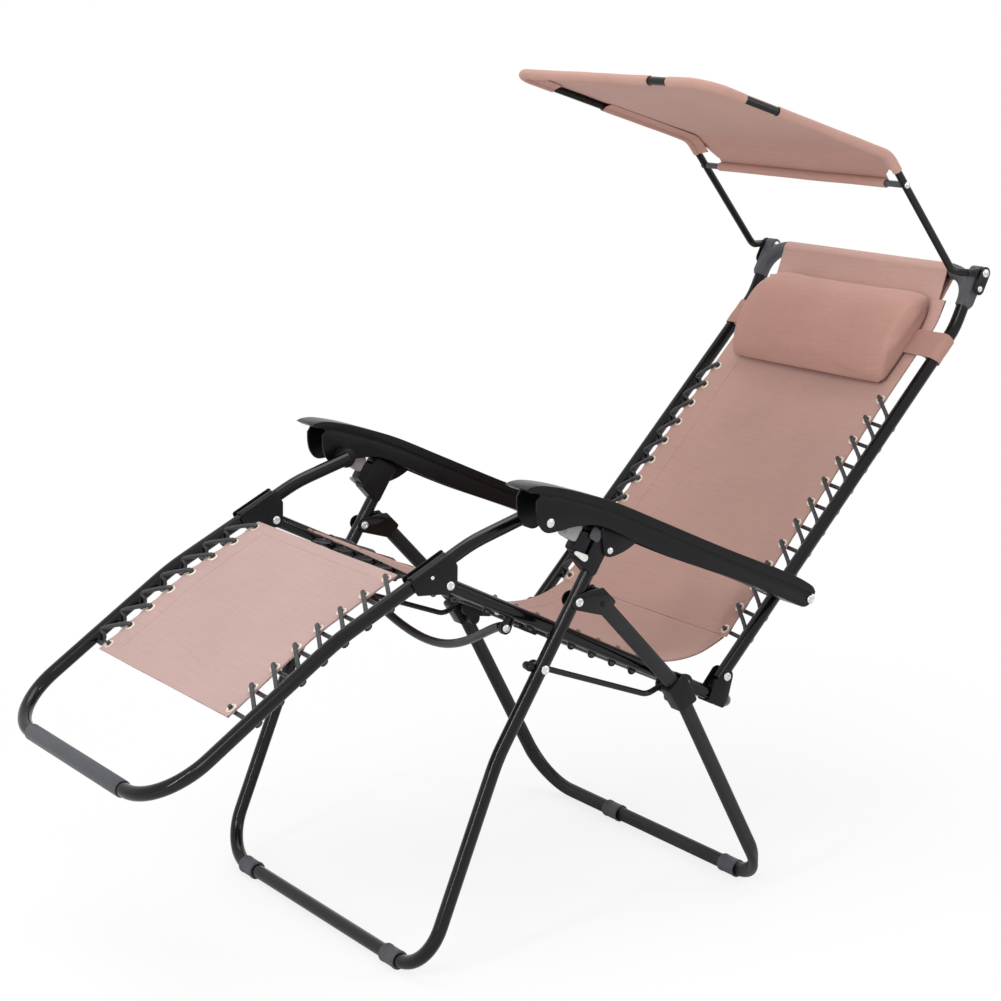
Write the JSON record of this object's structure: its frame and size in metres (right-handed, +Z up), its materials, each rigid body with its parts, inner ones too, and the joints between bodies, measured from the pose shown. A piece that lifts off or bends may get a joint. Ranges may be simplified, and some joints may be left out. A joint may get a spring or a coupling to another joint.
{
  "type": "reclining sun lounger with canopy",
  "caption": "Folding reclining lounger with crossed U-shaped tube legs, laced fabric sling, moulded armrests, head pillow and a swinging sun canopy.",
  "frame": {"origin": "on the floor under the middle of the whole object's bounding box", "axes": "+X from the foot rest toward the head end, +Y from the left armrest to the right armrest, +Z up"},
  "size_m": [1.5862, 0.692, 1.3128],
  "materials": {
    "gloss_tube": "glossy black powder coat on round steel tube",
    "satin_tube": "dark grey satin coat on flat-oval steel tube",
    "bent_rod": "black coated steel rod and tube",
    "black_plastic": "moulded black plastic, slightly glossy",
    "grey_plastic": "moulded dark grey plastic",
    "light_plastic": "moulded light grey plastic",
    "rivet_steel": "bright zinc-plated steel",
    "rose_cloth": "dusty rose-brown woven outdoor cloth",
    "bungee": "black elastic cord"
  },
  "bodies": {
    "front_leg_body": {"front_leg": "gloss_tube", "front_foot_left": "grey_plastic", "front_foot_right": "grey_plastic", "lock_housing_left": "black_plastic", "lock_housing_right": "black_plastic", "link_pin_left": "rivet_steel", "link_pin_right": "rivet_steel"},
    "rear_leg_body": {"rear_leg": "satin_tube", "rear_foot_left": "grey_plastic", "rear_foot_right": "grey_plastic", "leg_bracket_left": "satin_tube", "leg_bracket_right": "satin_tube", "leg_pin_left": "rivet_steel", "leg_pin_right": "rivet_steel"},
    "sleeves": {"slide_sleeve_left": "black_plastic", "slide_sleeve_right": "black_plastic"},
    "link_rods": {"link_rod_left": "bent_rod", "link_rod_right": "bent_rod"},
    "seat_pivots": {"seat_pin_left": "rivet_steel", "seat_pin_right": "rivet_steel"},
    "seat": {"seat_frame": "gloss_tube", "seat_cross_tube": "bent_rod", "back_bracket_left": "black_plastic", "back_bracket_right": "black_plastic", "sling_seat": "rose_cloth", "lacing_seat_left": "bungee", "lacing_seat_right": "bungee"},
    "back_pivots": {"back_pin_left": "rivet_steel", "back_pin_right": "rivet_steel"},
    "back": {"back_frame": "gloss_tube", "corner_connector_left": "grey_plastic", "corner_connector_right": "grey_plastic", "canopy_plate_left": "gloss_tube", "canopy_plate_right": "gloss_tube", "canopy_bolt_left": "rivet_steel", "canopy_bolt_right": "rivet_steel", "sling_back": "rose_cloth", "lacing_back_left": "bungee", "lacing_back_right": "bungee"},
    "knee_pivots": {"knee_pin_left": "rivet_steel", "knee_pin_right": "rivet_steel"},
    "leg_rest": {"leg_rest_frame": "gloss_tube", "foot_bar_sleeve": "grey_plastic", "knee_bracket_left": "black_plastic", "knee_bracket_right": "black_plastic", "sling_leg": "rose_cloth", "lacing_leg_left": "bungee", "lacing_leg_right": "bungee"},
    "arm_pivots": {"armrest_pin_left": "rivet_steel", "armrest_pin_right": "rivet_steel"},
    "armrests": {"armrest_left": "black_plastic", "armrest_right": "black_plastic"},
    "canopy": {"canopy_frame": "gloss_tube", "canopy_rear_bar": "light_plastic", "canopy_cover": "rose_cloth"},
    "head_pillow": {"pillow": "rose_cloth", "pillow_strap_left": "rose_cloth", "pillow_strap_right": "rose_cloth"},
    "lever_left": {"lock_lever_left": "light_plastic"},
    "lever_right": {"lock_lever_right": "light_plastic"}
  },
  "joints": [
    {"name": "leg_fold", "type": "hinge", "parent": "front_leg_body", "child": "rear_leg_body", "pos_m": [-0.10044, 0, 0.552], "axis": [0, 1, 0], "range_deg": [0, 56]},
    {"name": "sleeve_slide", "type": "slide", "parent": "rear_leg_body", "child": "sleeves", "axis": [0.4648, 0, -0.8854], "range_m": [0, 0.1253]},
    {"name": "rod_swing", "type": "hinge", "parent": "front_leg_body", "child": "link_rods", "pos_m": [-0.16136, 0, 0.45564], "axis": [0, 1, 0], "range_deg": [0, 80.2]},
    {"name": "seat_fold", "type": "hinge", "parent": "sleeves", "child": "seat_pivots", "pos_m": [0.14178, 0, 0.37164], "axis": [0, 1, 0], "range_deg": [0, 11.9]},
    {"name": "seat_recline", "type": "hinge", "parent": "seat_pivots", "child": "seat", "pos_m": [0.14578, 0, 0.37164], "axis": [0, -1, 0], "range_deg": [-2.42, 4.83]},
    {"name": "back_fold", "type": "hinge", "parent": "seat", "child": "back_pivots", "pos_m": [0.23319, 0, 0.36592], "axis": [0, -1, 0], "range_deg": [0, 60.6]},
    {"name": "back_recline", "type": "hinge", "parent": "back_pivots", "child": "back", "pos_m": [0.23105, 0, 0.36796], "axis": [0, -1, 0], "range_deg": [-12, 24]},
    {"name": "rest_fold", "type": "hinge", "parent": "seat", "child": "knee_pivots", "pos_m": [-0.29904, 0, 0.59575], "axis": [0, -1, 0], "range_deg": [0, 56.8]},
    {"name": "rest_recline", "type": "hinge", "parent": "knee_pivots", "child": "leg_rest", "pos_m": [-0.30038, 0, 0.59826], "axis": [0, -1, 0], "range_deg": [-13.43, 26.85]},
    {"name": "arm_fold", "type": "hinge", "parent": "back", "child": "arm_pivots", "pos_m": [0.3513, 0, 0.49072], "axis": [0, 1, 0], "range_deg": [0, 65.9]},
    {"name": "arm_recline", "type": "hinge", "parent": "arm_pivots", "child": "armrests", "pos_m": [0.35234, 0, 0.49347], "axis": [0, 1, 0], "range_deg": [-13.03, 26.05]},
    {"name": "canopy_swing", "type": "hinge", "parent": "back", "child": "canopy", "pos_m": [0.78207, 0, 0.98614], "axis": [0, 1, 0], "range_deg": [0, 130]},
    {"name": "pillow_slide", "type": "slide", "parent": "back", "child": "head_pillow", "axis": [0.6896, 0, 0.7242], "range_m": [-0.07, 0]},
    {"name": "lever_turn_left", "type": "hinge", "parent": "front_leg_body", "child": "lever_left", "pos_m": [-0.09267, 0, 0.62044], "axis": [0, 1, 0], "range_deg": [0, 35]},
    {"name": "lever_turn_right", "type": "hinge", "parent": "front_leg_body", "child": "lever_right", "pos_m": [-0.09267, 0, 0.62044], "axis": [0, 1, 0], "range_deg": [0, 35]}
  ],
  "couplings": [
    {"joint": "sleeve_slide", "follows": "leg_fold", "m_per_rad": 0.128},
    {"joint": "rod_swing", "follows": "leg_fold", "ratio": 1.43},
    {"joint": "seat_fold", "follows": "leg_fold", "ratio": 0.2117},
    {"joint": "seat_recline", "follows": "back_recline", "ratio": 0.2005},
    {"joint": "back_fold", "follows": "leg_fold", "ratio": 1.08},
    {"joint": "rest_fold", "follows": "leg_fold", "ratio": 1.0122},
    {"joint": "rest_recline", "follows": "back_recline", "ratio": 1.1182},
    {"joint": "arm_fold", "follows": "leg_fold", "ratio": 1.1744},
    {"joint": "arm_recline", "follows": "back_recline", "ratio": 1.085}
  ]
}
